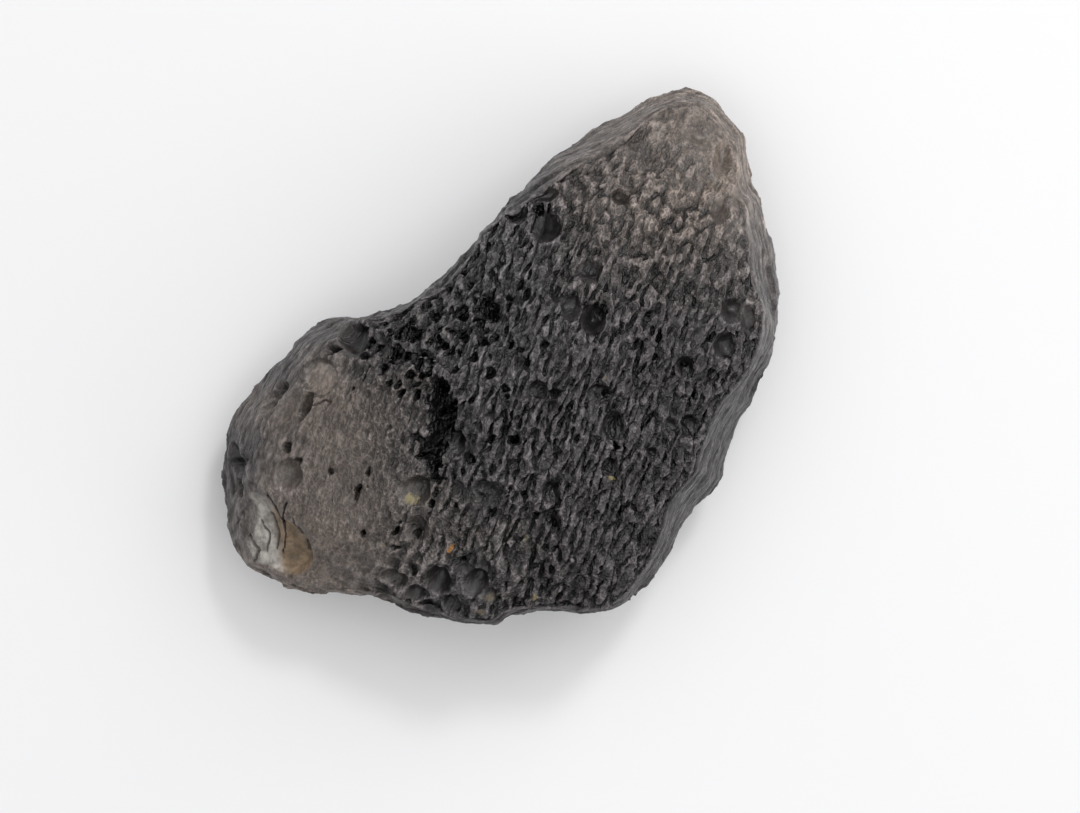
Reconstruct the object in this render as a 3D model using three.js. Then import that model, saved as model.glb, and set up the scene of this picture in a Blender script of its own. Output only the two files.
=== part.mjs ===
// A tektite: a lump of dark brown natural glass, long from its blunt left end to its thin right tip,
// pinched at the back by a saddle, and pitted all over.
// Millimetres, +Z up. The lump lies on z = 0, with X and Y centred on its width and depth.
import * as THREE from "three";
import { MeshSurfaceSampler } from "three/addons/math/MeshSurfaceSampler.js";
import { mergeVertices } from "three/addons/utils/BufferGeometryUtils.js";

// ---- Driving dimensions ----

// The widest outline seen from above, anticlockwise from the right-hand side.
const OUTLINE = [
  [22.4, 0.5], [22.7, 3.9], [22, 8.1], [21.4, 11], [21.2, 12.9], [20.6, 14.2], [20, 16.5],
  // the tip
  [19.3, 18.3], [17.6, 20.3], [16.2, 21.3], [14, 21.5], [11.1, 20.3],
  // the back, down into the saddle and out along the left lobe
  [7.9, 18.6], [5.9, 17.3], [3.5, 15.8], [1.5, 13.6], [-1.2, 10.7], [-2.1, 9.2], [-5.1, 5.8],
  [-8.4, 4.1], [-11.2, 3.3], [-14.1, 2.9], [-16.4, 1.8], [-17.8, 0.2], [-20.1, -2.7],
  // the blunt left end
  [-21.6, -4.6], [-22.5, -7.5], [-22.7, -10.5], [-22.1, -13.4], [-21.1, -16.2], [-20.5, -17.3],
  // the front edge
  [-18.3, -18.1], [-16, -18.8], [-14.6, -19.2], [-10.8, -19.2], [-8.8, -19.6], [-7, -20.4],
  [-2.4, -21.2], [-0.6, -21.3], [0.6, -20.7], [2.2, -20.3], [4.7, -20.3], [8.1, -20.4],
  // the right flank
  [9.6, -20.1], [10.8, -19.2], [13.6, -16.1], [15.3, -12.6], [17.5, -10.2], [18, -8.5],
  [19.2, -5], [20.8, -2.3],
];

// The crown of the lump. Every ring of it is laid around the crown.
const CROWN = { x: 0, y: -3.5, height: 18.7 };

// The profile at each bearing from the crown, in degrees anticlockwise from +X: height of the rim,
// width of the bevel towards the crown, height of the crest at its top, and reach of the flat foot.
const PROFILES = [
  { bearing: 0, rim: 6.8, bevel: 2.4, crest: 13.6, foot: 11.5 },
  { bearing: 20, rim: 5.8, bevel: 2.2, crest: 14, foot: 12 },
  { bearing: 37, rim: 6.4, bevel: 2.5, crest: 13.6, foot: 12 },
  { bearing: 50, rim: 7, bevel: 1.8, crest: 10.8, foot: 12 },
  { bearing: 58, rim: 7, bevel: 1.7, crest: 10.4, foot: 11 },
  { bearing: 66, rim: 6, bevel: 3.7, crest: 13, foot: 9.5 },
  { bearing: 78, rim: 7, bevel: 2.8, crest: 14.8, foot: 8 },
  { bearing: 90, rim: 9, bevel: 1, crest: 14.8, foot: 6.5 },
  { bearing: 110, rim: 11, bevel: 0.4, crest: 14.8, foot: 6 },
  { bearing: 128, rim: 11, bevel: 0.4, crest: 14.3, foot: 6.5 },
  { bearing: 149, rim: 9, bevel: 0.7, crest: 13, foot: 8 },
  { bearing: 158, rim: 6, bevel: 2.8, crest: 12, foot: 9 },
  { bearing: 170, rim: 6, bevel: 2.5, crest: 11, foot: 9 },
  { bearing: 182, rim: 5, bevel: 3, crest: 10, foot: 10 },
  { bearing: 195, rim: 4.5, bevel: 3.2, crest: 10, foot: 10 },
  { bearing: 205, rim: 5.5, bevel: 2.5, crest: 9, foot: 10 },
  { bearing: 214, rim: 6, bevel: 1.2, crest: 8, foot: 9 },
  { bearing: 224, rim: 8, bevel: 0.5, crest: 9, foot: 9 },
  { bearing: 244, rim: 10, bevel: 0.4, crest: 11.3, foot: 8 },
  { bearing: 270, rim: 11, bevel: 0.4, crest: 12.5, foot: 7.5 },
  { bearing: 290, rim: 11, bevel: 0.4, crest: 12.5, foot: 7.5 },
  { bearing: 300, rim: 10, bevel: 0.6, crest: 12.2, foot: 8 },
  { bearing: 308, rim: 8, bevel: 1.2, crest: 12, foot: 8 },
  { bearing: 322, rim: 7.4, bevel: 1.9, crest: 13, foot: 9.5 },
  { bearing: 340, rim: 5.8, bevel: 2.4, crest: 13.4, foot: 10.5 },
];

// How the top falls from the crown to the crest: 2 would be a parabola.
const DOME_POWER = 2.1;

// Broad rises and hollows of the top.
const SWELLS = [
  { x: -10, y: -9, reach: 6.5, rise: -2.2 },
  { x: 3, y: -2, reach: 7, rise: 0.4 },
];

// Pits and chips of the top: place, half width, half length, turn of the length from +Y in degrees
// anticlockwise, and depth.
const PITS = [
  // the left lobe: two smooth round dimples, a trough and the bowl beside the chip
  { x: -14.4, y: -1.6, width: 1.55, length: 1.6, turn: 0, depth: 0.9 },
  { x: -11.8, y: 1.4, width: 1.2, length: 1.6, turn: 0, depth: 0.8 },
  { x: -16.7, y: -4.5, width: 1, length: 2.4, turn: -25, depth: 0.8 },
  { x: -16.8, y: -9.4, width: 1.2, length: 1.4, turn: 0, depth: 0.6 },
  // the shell-shaped chip at the left end: two facets that meet in a crack
  { x: -19.1, y: -13.7, width: 1.8, length: 2.7, turn: 10, depth: 0.8 },
  { x: -16.8, y: -15, width: 1.6, length: 2.4, turn: -8, depth: 0.8 },
  // the front of the left lobe
  { x: -6.8, y: -10.7, width: 1.3, length: 1.3, turn: 0, depth: 0.6 },
  { x: -6.7, y: -13.7, width: 1, length: 1.1, turn: 0, depth: 0.4 },
  { x: -1.2, y: -11.6, width: 2, length: 1.9, turn: 0, depth: 0.5 },
  { x: -8.5, y: -17.7, width: 0.7, length: 1.2, turn: 70, depth: 0.5 },
  { x: -7, y: -19.1, width: 0.8, length: 0.8, turn: 0, depth: 0.5 },
  { x: -5.1, y: -18, width: 1.1, length: 1.3, turn: 0, depth: 0.9 },
  { x: -2, y: -18, width: 1.1, length: 1.2, turn: 0, depth: 0.9 },
  { x: -0.8, y: -19.2, width: 0.9, length: 0.7, turn: 0, depth: 0.4 },
  // the middle
  { x: -3.5, y: -7, width: 0.8, length: 1.1, turn: 0, depth: 0.6 },
  { x: 3, y: -2.9, width: 1, length: 1, turn: 0, depth: 0.4 },
  { x: 4.1, y: -10.9, width: 1, length: 1, turn: 0, depth: 0.4 },
  { x: 3.9, y: -13.2, width: 1.1, length: 1.1, turn: 0, depth: 0.4 },
  { x: 7.8, y: -3.1, width: 0.9, length: 0.9, turn: 0, depth: 0.4 },
  { x: 8.9, y: -5.8, width: 1.1, length: 1.5, turn: 0, depth: 0.5 },
  { x: 8.8, y: -9, width: 0.7, length: 0.8, turn: 0, depth: 0.5 },
  // two smooth bowls side by side, and a shallow one behind them
  { x: 5.6, y: 3.7, width: 1, length: 1.2, turn: 0, depth: 0.6 },
  { x: 7.3, y: 2.8, width: 1.1, length: 1.4, turn: 0, depth: 0.8 },
  { x: 7, y: 6.6, width: 1.1, length: 1.1, turn: 0, depth: 0.3 },
  // the bowls at the back
  { x: 3.5, y: 10.4, width: 1.5, length: 1.5, turn: 0, depth: 0.9 },
  { x: 3.5, y: 12.9, width: 1.3, length: 0.7, turn: 0, depth: 0.4 },
  { x: 1, y: 11.5, width: 0.9, length: 0.9, turn: 0, depth: 0.3 },
  // the right end: a shallow facet and a dent below the tip, and the chip on the right crest
  { x: 17.6, y: 15.6, width: 0.8, length: 1.5, turn: -10, depth: 0.3 },
  { x: 17.2, y: 11.4, width: 0.7, length: 1.1, turn: 0, depth: 0.3 },
  { x: 18.3, y: 3.5, width: 1.1, length: 1.1, turn: 0, depth: 0.6 },
  { x: 17.8, y: 0.7, width: 1, length: 1.2, turn: 0, depth: 0.6 },
  { x: 19.5, y: 2.8, width: 0.7, length: 1.3, turn: 0, depth: 0.4 },
  { x: 14.6, y: -1, width: 0.8, length: 0.9, turn: 0, depth: 0.5 },
  { x: 15.1, y: -5.6, width: 0.9, length: 0.9, turn: 0, depth: 0.4 },
  { x: 13.4, y: -5.7, width: 0.8, length: 0.8, turn: 0, depth: 0.4 },
];

// The fissure that winds down the top, left of the crown.
const FISSURE = {
  route: [[-4.6, -2.1], [-4.8, -3.5], [-4.1, -4.9], [-4.4, -6.3], [-5.2, -7.1], [-5.3, -8.3], [-5, -9.6]],
  halfWidth: 0.9,
  depth: 1.2,
};

// Round bites scattered over the whole lump: broad dents, and the scallops between them.
const DENTS = { seed: 5, count: 80, smallest: 2.2, largest: 4, depthOfRadius: 0.13 };
const SCALLOPS = { seed: 11, count: 620, smallest: 1, largest: 1.8, depthOfRadius: 0.36 };

// The smooth face of the left lobe, which the scallops leave alone, and the worn middle of the foot.
const SMOOTH_FACE = { x: -11, y: -9.6, width: 4.6, length: 7 };
const WORN_FOOT = { x: 2.5, y: -2.5, reach: 3.5 };

// The skin is a sphere laid over the four zones in turn, each with about its share of the area.
const ZONE_ENDS = { top: 0.4, bevel: 0.54, flank: 0.93 };
// The flank's rings are closer at the rim, where they are longest: 1 would space them evenly.
const FLANK_EASE = 1.3;
const SPHERE_DETAIL = 21;

// Faces steeper than this belong to the sides, which the pits of the top don't reach.
const TOP_FACING = 0.25;

// ---- The smooth lump ----

const outline = new THREE.CatmullRomCurve3(
  OUTLINE.map(([x, y]) => new THREE.Vector3(x, y, 0)),
  true,
  "catmullrom",
);
outline.arcLengthDivisions = 2000;

/** The profile at a bearing, eased between the two that it lies between. */
function profileAt(bearing) {
  const turn = THREE.MathUtils.euclideanModulo(bearing, 360);
  const next = PROFILES.findIndex((profile) => profile.bearing > turn);
  const after = PROFILES[Math.max(next, 0)];
  const before = PROFILES.at(next - 1 < 0 ? -1 : next - 1);
  const end = next < 0 ? 360 : after.bearing;
  const t = THREE.MathUtils.smoothstep(turn, before.bearing, end);
  const mix = (key) => THREE.MathUtils.lerp(before[key], after[key], t);
  return { rim: mix("rim"), bevel: mix("bevel"), crest: mix("crest"), foot: mix("foot") };
}

/** The rise of the top at a place, from all the swells. */
function swellAt(x, y) {
  return SWELLS.reduce((sum, swell) => {
    const away = Math.hypot(x - swell.x, y - swell.y) / swell.reach;
    return sum + swell.rise * Math.exp(-away * away);
  }, 0);
}

/**
 * The point of the smooth lump for a direction from the middle of a sphere: the sphere's top goes to
 * the crown, and rings of it go to the crest, the rim, the foot and the middle of the foot in turn.
 */
function skinPoint(direction) {
  const share = (1 - direction.z) / 2;
  const around = THREE.MathUtils.euclideanModulo(
    Math.atan2(direction.y, direction.x) / (2 * Math.PI),
    1,
  );
  const edge = outline.getPointAt(around);
  const spoke = new THREE.Vector2(edge.x - CROWN.x, edge.y - CROWN.y);
  const reach = spoke.length();
  spoke.divideScalar(reach);
  const { rim, bevel, crest, foot } = profileAt(THREE.MathUtils.radToDeg(spoke.angle()));

  let out;
  let height;
  if (share < ZONE_ENDS.top) {
    const part = Math.sqrt(share / ZONE_ENDS.top);
    out = (reach - bevel) * part;
    const place = spoke.clone().multiplyScalar(out);
    const swell = swellAt(CROWN.x + place.x, CROWN.y + place.y) * (1 - part ** 4);
    height = crest + (CROWN.height - crest) * (1 - part ** DOME_POWER) + swell;
  } else if (share < ZONE_ENDS.bevel) {
    const part = (share - ZONE_ENDS.top) / (ZONE_ENDS.bevel - ZONE_ENDS.top);
    out = reach - bevel * (1 - part);
    height = THREE.MathUtils.lerp(crest, rim, part);
  } else if (share < ZONE_ENDS.flank) {
    const part = (share - ZONE_ENDS.bevel) / (ZONE_ENDS.flank - ZONE_ENDS.bevel);
    const angle = (part ** FLANK_EASE * Math.PI) / 2;
    out = foot + (reach - foot) * Math.cos(angle);
    height = rim * (1 - Math.sin(angle));
  } else {
    out = foot * Math.sqrt((1 - share) / (1 - ZONE_ENDS.flank));
    height = 0;
  }
  return new THREE.Vector3(CROWN.x + spoke.x * out, CROWN.y + spoke.y * out, height);
}

// ---- What is bitten out of it ----

/** Seeded random numbers from 0 to 1 (the mulberry32 generator). */
function randomFrom(seed) {
  let state = seed >>> 0;
  return () => {
    state = (state + 0x6d2b79f5) >>> 0;
    let mixed = Math.imul(state ^ (state >>> 15), state | 1);
    mixed ^= mixed + Math.imul(mixed ^ (mixed >>> 7), mixed | 61);
    return ((mixed ^ (mixed >>> 14)) >>> 0) / 2 ** 32;
  };
}

/** Is a point of the skin on a part that the scattered bites leave alone? */
function isLeftAlone(point) {
  const onTop = point.z > CROWN.height / 2;
  const face = Math.hypot(
    (point.x - SMOOTH_FACE.x) / SMOOTH_FACE.width,
    (point.y - SMOOTH_FACE.y) / SMOOTH_FACE.length,
  );
  const foot = Math.hypot(point.x - WORN_FOOT.x, point.y - WORN_FOOT.y) / WORN_FOOT.reach;
  return (onTop && face < 1) || (point.z === 0 && foot < 1);
}

/** A place on the lump's skin for a random direction from the middle of the sphere. */
function placeByDirection(random) {
  const z = 1 - 2 * random();
  const longitude = 2 * Math.PI * random();
  const level = Math.sqrt(1 - z * z);
  return skinPoint(
    new THREE.Vector3(level * Math.cos(longitude), level * Math.sin(longitude), z),
  );
}

/** Round bites with their middles at the places that the seeded random numbers give. */
function scatter({ seed, count, smallest, largest, depthOfRadius }, placeFrom) {
  const random = randomFrom(seed);
  const bites = [];
  for (let i = 0; i < count; i += 1) {
    const middle = placeFrom(random);
    const radius = THREE.MathUtils.lerp(smallest, largest, random() ** 2);
    if (!isLeftAlone(middle)) bites.push({ middle, radius, depth: radius * depthOfRadius });
  }
  return bites;
}

/** How deep the deepest of some round bites reaches at a point: a bowl is a parabola. */
function biteDepth(point, bites) {
  return bites.reduce((deepest, { middle, radius, depth }) => {
    const away = point.distanceTo(middle) / radius;
    return Math.max(deepest, depth * (1 - away * away));
  }, 0);
}

/** How deep the deepest pit of the top reaches below a place. */
function pitDepth(x, y) {
  return PITS.reduce((deepest, pit) => {
    const offset = new THREE.Vector2(x - pit.x, y - pit.y);
    offset.rotateAround(new THREE.Vector2(), -THREE.MathUtils.degToRad(pit.turn));
    const away = Math.hypot(offset.x / pit.width, offset.y / pit.length);
    return Math.max(deepest, pit.depth * (1 - away * away));
  }, 0);
}

/** How deep the fissure is at a place. */
function fissureDepth(x, y) {
  const place = new THREE.Vector3(x, y, 0);
  const nearest = new THREE.Vector3();
  const aways = FISSURE.route.slice(1).map((end, i) => {
    const stretch = new THREE.Line3(
      new THREE.Vector3(...FISSURE.route[i], 0),
      new THREE.Vector3(...end, 0),
    );
    return stretch.closestPointToPoint(place, true, nearest).distanceTo(place);
  });
  const away = Math.min(...aways) / FISSURE.halfWidth;
  return Math.max(0, FISSURE.depth * (1 - away * away));
}

// ---- The body ----

/** The closed skin of the lump: the smooth lump first, then every point sunk along its own normal. */
function makeBody() {
  const sphere = new THREE.IcosahedronGeometry(1, SPHERE_DETAIL);
  sphere.deleteAttribute("normal");
  sphere.deleteAttribute("uv");
  const geometry = mergeVertices(sphere);
  const position = geometry.getAttribute("position");
  const point = new THREE.Vector3();
  for (let i = 0; i < position.count; i += 1) {
    point.copy(skinPoint(point.fromBufferAttribute(position, i).normalize()));
    position.setXYZ(i, point.x, point.y, point.z);
  }
  geometry.computeVertexNormals();

  const normals = geometry.getAttribute("normal");
  const normal = new THREE.Vector3();
  const sampler = new MeshSurfaceSampler(new THREE.Mesh(geometry)).build();
  const placeBySample = (random) => {
    const place = new THREE.Vector3();
    sampler.setRandomGenerator(random).sample(place);
    return place;
  };
  const dents = scatter(DENTS, placeByDirection);
  const scallops = scatter(SCALLOPS, placeBySample);
  for (let i = 0; i < position.count; i += 1) {
    point.fromBufferAttribute(position, i);
    normal.fromBufferAttribute(normals, i);
    const fromAbove = normal.z > TOP_FACING;
    const pit = fromAbove ? pitDepth(point.x, point.y) : 0;
    const fissure = fromAbove ? fissureDepth(point.x, point.y) : 0;
    const sunk = biteDepth(point, dents) + Math.max(biteDepth(point, scallops), pit, fissure);
    point.addScaledVector(normal, -sunk);
    position.setXYZ(i, point.x, point.y, Math.max(point.z, 0));
  }
  geometry.deleteAttribute("normal");
  return geometry;
}

const glass = new THREE.MeshStandardMaterial({ color: 0x35302d, roughness: 0.4, metalness: 0 });
const tektite = new THREE.Mesh(makeBody(), glass);
tektite.name = "tektite";

const part = new THREE.Group();
part.add(tektite);

export default part;
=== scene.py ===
"""The looks of a tektite: a lump of dark brown natural glass, pitted all over, lying on white paper.

The skin is worked out in millimetres from the same driving dimensions as the solid, with far finer
pits, and becomes one mesh in metres. Longitudes and bearings run anticlockwise from +X.
"""

import itertools
import math

import bmesh
import bpy
import numpy as np
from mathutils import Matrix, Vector, kdtree, noise
from numpy.linalg import norm


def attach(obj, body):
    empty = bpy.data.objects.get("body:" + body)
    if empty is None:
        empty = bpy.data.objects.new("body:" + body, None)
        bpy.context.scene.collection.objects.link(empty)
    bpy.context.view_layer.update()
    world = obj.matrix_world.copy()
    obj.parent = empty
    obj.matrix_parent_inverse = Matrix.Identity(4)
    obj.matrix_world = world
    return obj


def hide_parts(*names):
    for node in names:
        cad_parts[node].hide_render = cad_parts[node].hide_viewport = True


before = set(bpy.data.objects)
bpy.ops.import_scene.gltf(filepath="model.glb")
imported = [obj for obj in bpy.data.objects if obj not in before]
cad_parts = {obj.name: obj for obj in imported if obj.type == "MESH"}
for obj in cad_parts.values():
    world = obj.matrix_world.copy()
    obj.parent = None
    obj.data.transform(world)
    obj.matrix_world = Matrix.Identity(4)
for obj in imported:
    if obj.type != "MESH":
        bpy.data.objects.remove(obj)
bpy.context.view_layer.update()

MM = 0.001
TAU = 2 * math.pi

# ---- Driving dimensions of the lump, in millimetres ----

# The widest outline seen from above, anticlockwise from the right-hand side.
OUTLINE = (
    (22.4, 0.5), (22.7, 3.9), (22, 8.1), (21.4, 11), (21.2, 12.9), (20.6, 14.2), (20, 16.5),
    (19.3, 18.3), (17.6, 20.3), (16.2, 21.3), (14, 21.5), (11.1, 20.3), (7.9, 18.6), (5.9, 17.3),
    (3.5, 15.8), (1.5, 13.6), (-1.2, 10.7), (-2.1, 9.2), (-5.1, 5.8), (-8.4, 4.1), (-11.2, 3.3),
    (-14.1, 2.9), (-16.4, 1.8), (-17.8, 0.2), (-20.1, -2.7), (-21.6, -4.6), (-22.5, -7.5),
    (-22.7, -10.5), (-22.1, -13.4), (-21.1, -16.2), (-20.5, -17.3), (-18.3, -18.1), (-16, -18.8),
    (-14.6, -19.2), (-10.8, -19.2), (-8.8, -19.6), (-7, -20.4), (-2.4, -21.2), (-0.6, -21.3),
    (0.6, -20.7), (2.2, -20.3), (4.7, -20.3), (8.1, -20.4), (9.6, -20.1), (10.8, -19.2),
    (13.6, -16.1), (15.3, -12.6), (17.5, -10.2), (18, -8.5), (19.2, -5), (20.8, -2.3),
)

# The crown, which every ring of the skin is laid around: place and height.
CROWN = np.array((0.0, -3.5))
CROWN_HEIGHT = 18.7
DOME_POWER = 2.1

# The profile by bearing: bearing, rim height, bevel width, crest height, reach of the foot.
PROFILES = np.array((
    (0, 6.8, 2.4, 13.6, 11.5), (20, 5.8, 2.2, 14, 12), (37, 6.4, 2.5, 13.6, 12), (50, 7, 1.8, 10.8, 12),
    (58, 7, 1.7, 10.4, 11), (66, 6, 3.7, 13, 9.5), (78, 7, 2.8, 14.8, 8), (90, 9, 1, 14.8, 6.5),
    (110, 11, 0.4, 14.8, 6), (128, 11, 0.4, 14.3, 6.5), (149, 9, 0.7, 13, 8), (158, 6, 2.8, 12, 9),
    (170, 6, 2.5, 11, 9), (182, 5, 3, 10, 10), (195, 4.5, 3.2, 10, 10), (205, 5.5, 2.5, 9, 10),
    (214, 6, 1.2, 8, 9), (224, 8, 0.5, 9, 9), (244, 10, 0.4, 11.3, 8), (270, 11, 0.4, 12.5, 7.5),
    (290, 11, 0.4, 12.5, 7.5), (300, 10, 0.6, 12.2, 8), (308, 8, 1.2, 12, 8), (322, 7.4, 1.9, 13, 9.5),
    (340, 5.8, 2.4, 13.4, 10.5),
))

# Broad rises and hollows of the top: x, y, reach, rise. They fade towards its edge by this power.
SWELLS = (
    (-10, -9, 6.5, -2.2),
    (3, -2, 7, 0.4),
)
SWELL_POWER = 4

# Broad dents scattered over the whole lump.
DENTS = dict(seed=5, count=80, smallest=2.2, largest=4, depth_of_radius=0.13)

# The skin is a sphere laid over the top, the bevel, the flank and the foot in turn. The top takes
# the most faces, for the finest pits.
TOP_END, BEVEL_END, FLANK_END = 0.60, 0.73, 0.96
FLANK_EASE = 1.3
SPHERE_EDGE_STEPS = 150
MOST_TRIANGLES = 195_000

# Pits of the top: x, y, half width, half length, depth, how smooth their floor is, from 0, as pitted
# as the rest, to 1, which makes a flat pan of the pit, and for some a turn from +Y.
PITS = (
    (-14.4, -1.6, 1.55, 1.6, 0.35, 1), (-11.8, 1.4, 1.2, 1.6, 0.8, 0.9),
    (-13.6, 0.6, 0.6, 0.5, 0.6, 0.5), (-16.9, -4.6, 1, 2.4, 0.35, 0.7, -25),
    (-15.8, -4.1, 0.75, 1.5, 1.2, 0.7, -30), (-18.2, -3.2, 0.55, 1.7, 0.9, 0.4, -41),
    (-21.6, -8.2, 0.6, 1.5, 0.9, 0.3, 10), (-21.5, -10.6, 0.5, 0.9, 0.7, 0.3),
    (-16.8, -9.4, 1.2, 1.4, 0.6, 0.9), (-20.9, -8.6, 0.5, 1.1, 0.5, 0.3, -30),
    (-20.3, -10.4, 0.5, 0.8, 0.4, 0.3, -30), (-19.1, -13.7, 2.0, 2.9, 0.1, 1, 10),
    (-16.8, -15, 1.8, 2.6, 0.1, 1, -8), (-6.8, -10.7, 1.3, 1.3, 0.6, 0.6),
    (-6.7, -13.7, 1, 1.1, 0.4, 0.4), (-1.2, -11.6, 2, 1.9, 0.5, 0.4),
    (-3.4, -10.6, 0.7, 0.8, 0.4, 0.5), (-8.5, -17.7, 0.7, 1.2, 0.5, 0.8, 70),
    (-7, -19.1, 0.8, 0.8, 0.5, 0.7), (-5.1, -18, 1.1, 1.3, 0.9, 0.8), (-2, -18, 1.1, 1.2, 0.9, 0.8),
    (-3, -16.9, 0.9, 0.6, 0.4, 0.6), (-1.3, -16.8, 0.7, 0.7, 0.4, 0.6),
    (-0.8, -19.2, 0.9, 0.7, 0.4, 0.6), (-4, -19.9, 0.8, 0.7, 0.4, 0.6),
    (-3.5, -7, 0.8, 1.1, 0.6, 0.8), (3, -2.9, 1, 1, 0.5, 0.6), (3.9, -4.1, 0.7, 0.7, 0.4, 0.5),
    (4.1, -10.9, 1, 1, 0.6, 0.6), (3.9, -13.2, 1.1, 1.1, 0.6, 0.5), (7.8, -3.1, 0.9, 0.9, 0.5, 0.7),
    (8.9, -5.8, 1.1, 1.5, 0.6, 0.6), (8.8, -9, 0.7, 0.8, 0.6, 0.6), (5.6, 3.7, 1, 1.2, 0.6, 0.8),
    (7.3, 2.8, 1.1, 1.4, 0.9, 0.8), (7, 6.6, 1.1, 1.1, 0.5, 0.7), (3.5, 10.4, 1.5, 1.5, 1, 0.9),
    (3.5, 12.9, 1.3, 0.7, 0.5, 0.9), (1, 11.5, 0.9, 0.9, 0.4, 0.6), (9.4, 12.5, 0.7, 0.8, 0.4, 0.6),
    (17.6, 15.6, 0.8, 1.6, 0.34, 0.9, -10), (18.9, 12.9, 0.7, 1.5, 0.28, 0.9, -20),
    (15.4, 17.4, 1.2, 0.7, 0.22, 0.8, -15), (17.2, 11.4, 0.7, 1.1, 0.3, 0.7),
    (18.3, 3.5, 1.1, 1.1, 0.6, 0.9), (17.8, 0.7, 1, 1.2, 0.6, 0.9), (19.5, 2.8, 0.7, 1.3, 0.4, 0.9),
    (14.6, -1, 0.8, 0.9, 0.6, 0.7), (15.1, -5.6, 0.9, 0.9, 0.5, 0.6),
    (13.4, -5.7, 0.8, 0.8, 0.5, 0.6), (12.1, -7.8, 0.6, 0.6, 0.4, 0.5),
)

# The pits are this much deeper than the table says.
PIT_DEEPER = 1.4
# The bowls are deeper on this side, by this share at their edge.
STEEP_WALL, STEEPER = (0.6, 0.8), 0.6
# A pan's wall and its rim, painted dark as shade, a bowl's lip, painted light as a highlight, and the
# smooth floor, with a pit's edge at 1.
PAN_WALL = (1.0, 0.84)
PAN_RIM, PAN_RIM_DARK = ((0.78, 0.92), (1.08, 0.98)), 3
LIP_AWAY, LIP_WIDTH = 1.02, (0.08, 0.01)
PIT_CALM = (1.0, 0.8)

# Small deep holes of the top: x, y, half width, half length, and for some a turn from +Y.
HOLES = (
    # in the saddle
    (-10.7, 1.6, 0.26, 1.2), (-10.7, 0, 0.4, 0.4), (-8.3, 0.2, 0.4, 0.5), (-6.2, 0.2, 0.55, 0.4),
    (-6.9, 1.7, 0.6, 0.8), (-7.4, -0.1, 0.3, 0.3), (-5.6, -0.6, 0.3, 0.3), (-6.7, -0.5, 0.25, 0.25),
    (-7, -1.6, 0.3, 0.3), (-8.1, -2.3, 0.25, 0.5, -30), (-6.7, -2.3, 0.25, 0.25),
    (-5.3, 3.4, 0.3, 0.5), (-4.1, 2.3, 0.3, 0.25), (-3.2, 3.5, 0.5, 0.7), (-1.1, 3.9, 0.7, 0.9),
    (-1.4, 1.1, 0.5, 0.4), (-2.9, 1.4, 0.4, 0.3), (-2.1, -0.2, 0.5, 0.4), (-0.7, -1.4, 0.4, 0.4),
    (-6, 4.4, 0.25, 0.25), (-5, 3.9, 0.2, 0.5, -20), (-4.2, 3.7, 0.2, 0.5, -20),
    (-0.3, 7.2, 0.3, 0.4), (-0.8, 6.6, 0.3, 0.3), (-1.6, 7.3, 0.3, 0.4), (-2.7, 5.8, 0.3, 0.4),
    (-4.5, 5.5, 0.3, 0.3),
    # round the crown and at the back
    (0.5, -2.6, 0.3, 0.4), (0.6, -3.3, 0.25, 0.3), (1.1, -6.8, 0.45, 0.45), (0.3, -6, 0.2, 0.55, -15),
    (3.6, 0.9, 0.25, 0.25), (1.7, 0.4, 0.25, 0.25), (2.2, -0.6, 0.3, 0.3), (2, 4.9, 0.35, 0.6, -15),
    (2.4, 6.4, 0.2, 0.5, -10), (2.7, 11.8, 0.55, 0.45), (8.1, 3.6, 0.3, 0.7), (8.4, -3.1, 0.3, 0.3),
    (14.9, -1, 0.3, 0.3), (4.4, -3, 0.4, 0.4), (-3.2, -6.6, 0.3, 0.6), (-2.6, -8.1, 0.25, 0.25),
    (-0.6, -12.4, 0.45, 0.3),
    # on the left lobe
    (-13.4, -9.1, 0.3, 0.3), (-11.3, -11, 0.2, 0.5, -10), (-8.3, -15.1, 0.3, 0.25),
    (-16, -8.4, 0.4, 0.4), (-17, -7.2, 0.4, 0.4), (-10.9, 1.2, 0.3, 0.8), (-13.2, 0.6, 0.55, 0.35),
)
HOLE_DEPTH_OF_RADIUS = 2.8
# A hole is a cone at 1 and a bowl at 2.
HOLE_ROUNDNESS = 1.6
# How much of the ragged noise tears the holes, and the ledges.
HOLE_RAGGED, LEDGE_RAGGED = 0.4, 0.3

# The fissure that winds down the top, left of the crown, and its branch: x, y and half width.
FISSURE = (
    (-4.8, -1.9, 0.5), (-4.7, -3.1, 1.1), (-4.6, -4.6, 1.1), (-4.9, -6, 0.8), (-5.3, -7.2, 0.75),
    (-5.4, -8.6, 0.65), (-5.1, -9.7, 0.3),
)
FISSURE_BRANCH = ((-6.7, -6.6, 0.3), (-6.1, -7.6, 0.45), (-5.5, -8.6, 0.4))
FISSURE_DEPTH = 1.6
# How far inside it are its floor and its torn sides.
FISSURE_FLOOR, FISSURE_SIDES = (0, 0.5), (0, 0.3)

# The flat faces that a chip has left on the low left-hand corner: a point of each, the bearing and
# slope that it faces, and how far it reaches.
CHIP_FACES = (
    ((-19.3, -13.7, 8.3), 200, 36, 3.2),
    ((-16.9, -15.0, 9.6), 235, 26, 2.6),
)
CHIP_RIPPLE, CHIP_RIPPLE_LENGTH = 0.04, 0.9
# They are whole up to this part of their reach, and bare where the cut is this deep.
CHIP_CORE, CHIP_BARE = 0.8, 0.1
# The dark crack that branches across them.
CRACK = ((-18.6, -11, 0.12), (-17.5, -13.2, 0.16), (-17.6, -16.4, 0.08))
CRACK_BRANCH = ((-16.9, -11.6, 0.1), (-17.5, -13.2, 0.14))
CRACK_DEPTH = 0.5
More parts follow.
